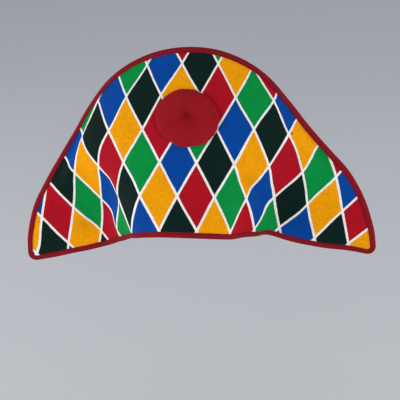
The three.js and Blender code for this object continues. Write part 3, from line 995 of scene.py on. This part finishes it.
def makeRosette():
    steps = rosette["sectionSteps"]
    bm = bmesh.new()
    points = [Vector(row) for row in rosetteSection]
    profile = []
    for i in range(steps + 1):
        point = curvePoint(points, i / steps)
        profile.append(bm.verts.new((max(point.x, 0.0), 0, i / steps)))
    for before, after in zip(profile, profile[1:]):
        bm.edges.new((before, after))
    bmesh.ops.spin(bm, geom=bm.verts[:] + bm.edges[:], cent=(0, 0, 0), axis=(0, 0, 1), angle=math.tau,
                   steps=rosette["turns"], use_merge=True)
    bmesh.ops.remove_doubles(bm, verts=bm.verts, dist=1e-7)
    uvLayer = bm.loops.layers.uv.new("cut")
    middle = rosette["rise"] / smoothFrame(0, 0.5)[2]
    alongScale, riseScale = smoothFrame(0, middle)[1:]
    seat = hat["clothWall"] + rosette["seatGap"]
    flatPlace = {}
    for vert in bm.verts:
        section = curvePoint(points, clamp(vert.co.z))
        angle = math.atan2(vert.co.y, vert.co.x)
        out = max(section.x, 0.0)
        ring = Vector((math.cos(angle), math.sin(angle), 0))
        crest, fine = gatherAt(angle, ring, out)
        outline = rosette["radius"] + ringNoise("edge", ring) + ringNoise("edgeFine", ring)
        outline += rosette["oval"] * math.cos(2 * (angle - rosette["ovalTurn"]))
        outline += rosette["gatherDepth"] * rosette["edgeGather"] * (crest - rosette["crestAtEdge"])
        radius = outline * out
        folds = rosette["gatherDepth"] * (crest - rosette["crestOnTop"])
        folds += rosette["fineDepth"] * (fine - 0.5) * (1 - out)
        lumpAt = (ring * radius + Vector((0, 0, rosette["lumpSlice"]))) / rosette["lumpSpacing"]
        lumps = rosette["lumpDepth"] * noise.noise(lumpAt)
        height = rosette["loft"] * section.y
        height += section.z * (folds + ringNoise("lobes", ring, out) + lumps)
        height = max(height, rosette["edgeHeight"] * out)
        drawn = max(1 - out, 0) ** rosette["drawnCurve"]
        flatRadius = out * rosette["clothRadius"] + rosette["clothEye"]
        flatPlace[vert] = [rosette["clothMiddle"] + flatRadius * part for part in ring.xy]
        along = (rosette["aside"] + radius * ring.x + rosette["eyeAside"] * drawn) / alongScale
        rise = middle + (radius * ring.y + rosette["eyeUp"] * drawn) / riseScale
        vert.co = clothPoint(1, along, rise, seat + height)
    for face in bm.faces:
        for loop in face.loops:
            loop[uvLayer].uv = flatPlace[loop.vert]
    bmesh.ops.recalc_face_normals(bm, faces=bm.faces)
    piece = finishedPiece("gathered_rosette", bm)
    piece.data.materials.append(rosetteCloth)
    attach(piece, "root")
    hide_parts("rosette")
    return piece


rosettePiece = makeRosette()
print("rosette made:", len(rosettePiece.data.polygons), "faces")


# Short stitches along a tape, each a thin bar with round ends
def makeStitches(name, walk, spots):
    bm = bmesh.new()
    pitch = round(tape["stitchPitch"] / tape["stationSpacing"])
    radius, margin = tape["stitchRadius"], tape["stitchMargin"]
    scale = Matrix.Diagonal((tape["stitchLength"] / 2, radius, radius))
    for k in range(margin, len(walk) - margin, pitch):
        station = walk[k]
        forward = (walk[k + 1]["edge"] - walk[k - 1]["edge"]).normalized()
        outwards = station["outwards"]
        turn = Matrix((forward, outwards.cross(forward), outwards)).transposed()
        for height, mirrored in spots:
            middle = offsetPoint(station, height, station["leg"] - tape["stitchInset"])
            made = bmesh.ops.create_icosphere(bm, subdivisions=1, radius=1)
            for vert in made["verts"]:
                vert.co = turn @ (scale @ vert.co) + middle
                if mirrored:
                    vert.co.y = -vert.co.y
    bmesh.ops.recalc_face_normals(bm, faces=bm.faces)
    piece = finishedPiece(name, bm)
    piece.data.materials.append(sewingThread)
    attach(piece, "root")
    return piece


outerStitch = hat["clothWall"] + tape["fit"] + tape["wall"]
bothSides = [(outerStitch, False), (outerStitch, True)]
throughHem = [(outerStitch, False), (-tape["fit"] - tape["wall"], False)]
makeStitches("crown_stitches", crownWalk, bothSides)
frontStitches = makeStitches("front_hem_stitches", frontHemWalk, throughHem)
backStitches = makeStitches("back_hem_stitches", backHemWalk, throughHem)
print("stitches made")

# Studio: pale floor below the hat, soft lights and the photograph's viewing angle
studio = {
    "floorHeight": -0.24,
    "floorSize": 12.0,
    "floorColour": colour(0.72, 0.73, 0.75),
    "floorRoughness": 0.8,
    "floorTone": 0.02,       # how much slow clouds vary its colour
    "cloudScale": 3.0,
    "viewTurn": 0.1722,      # radians: the camera stands a little to +X
    "viewPitch": 0.2652,     # and looks down
    "viewRoll": -0.067,
    "distance": 2.913,
    "lens": 237.0,
    "aim": Vector((0.00598, 0, -0.0372)),   # shift of the picture's middle, across and up
    "viewCentre": 0.0526,    # height of the point that the camera turns about
    "air": colour(0.9, 0.93, 1.0),
    "airStrength": 0.45,
}
# Name, place, the point that it shines at, width in metres and watts
studioLights = (
    ("keyLight", (-1.75, -1.35, 0.25), (0, 0, 0.02), 1.2, 27),
    ("fillLight", (1.8, -1.4, 0.25), (0, 0, 0.02), 1.4, 22),
    ("leftLight", (-2.0, 0.5, 0.4), (0, 0, 0.05), 1.0, 11),
    ("rightLight", (2.0, 0.4, 0.4), (0, 0, 0.05), 1.0, 11),
)


def makeFloor():
    bm = bmesh.new()
    bmesh.ops.create_grid(bm, x_segments=8, y_segments=8, size=studio["floorSize"] / 2)
    bmesh.ops.translate(bm, verts=bm.verts, vec=(0, 0, studio["floorHeight"]))
    floor = finishedPiece("floor", bm)
    material, tree, shader = startMaterial("paleFloor")
    shader.inputs["Roughness"].default_value = studio["floorRoughness"]
    place = addNode(tree, "ShaderNodeTexCoord").outputs["Object"]
    cloud = noiseValue(tree, place, studio["cloudScale"], 3.0)
    base = toned(tree, studio["floorColour"], cloud, studio["floorTone"])
    feed(tree, shader.inputs["Base Color"], base)
    floor.data.materials.append(material)


def makeCamera():
    turn = Matrix.Rotation(-studio["viewTurn"], 3, "Z")
    pitch = Matrix.Rotation(studio["viewPitch"], 3, "X")
    roll = Matrix.Rotation(studio["viewRoll"], 3, "Y")
    fromView = (roll @ pitch @ turn).transposed()
    data = bpy.data.cameras.new("photoCamera")
    data.lens = studio["lens"]
    data.sensor_width = 36
    data.clip_end = 40
    camera = bpy.data.objects.new("photoCamera", data)
    bpy.context.collection.objects.link(camera)
    aside = Vector((studio["aim"].x, -studio["distance"], studio["aim"].z))
    place = fromView @ aside + Vector((0, 0, studio["viewCentre"]))
    facing = fromView @ Matrix.Rotation(math.pi / 2, 3, "X")
    camera.matrix_world = Matrix.Translation(place) @ facing.to_4x4()
    bpy.context.scene.camera = camera


def addLight(name, place, aim, size, power):
    data = bpy.data.lights.new(name, "AREA")
    data.shape = "DISK"
    data.size = size
    data.energy = power
    light = bpy.data.objects.new(name, data)
    bpy.context.collection.objects.link(light)
    light.location = place
    light.rotation_euler = (Vector(aim) - Vector(place)).to_track_quat("-Z", "Y").to_euler()


def makeWorld():
    world = bpy.data.worlds.new("studioAir")
    world.use_nodes = True
    air = world.node_tree.nodes["Background"].inputs
    air["Color"].default_value = studio["air"]
    air["Strength"].default_value = studio["airStrength"]
    bpy.context.scene.world = world


makeFloor()
makeCamera()
for light in studioLights:
    addLight(*light)
makeWorld()
bpy.context.scene.view_settings.view_transform = "Standard"
print("studio made")
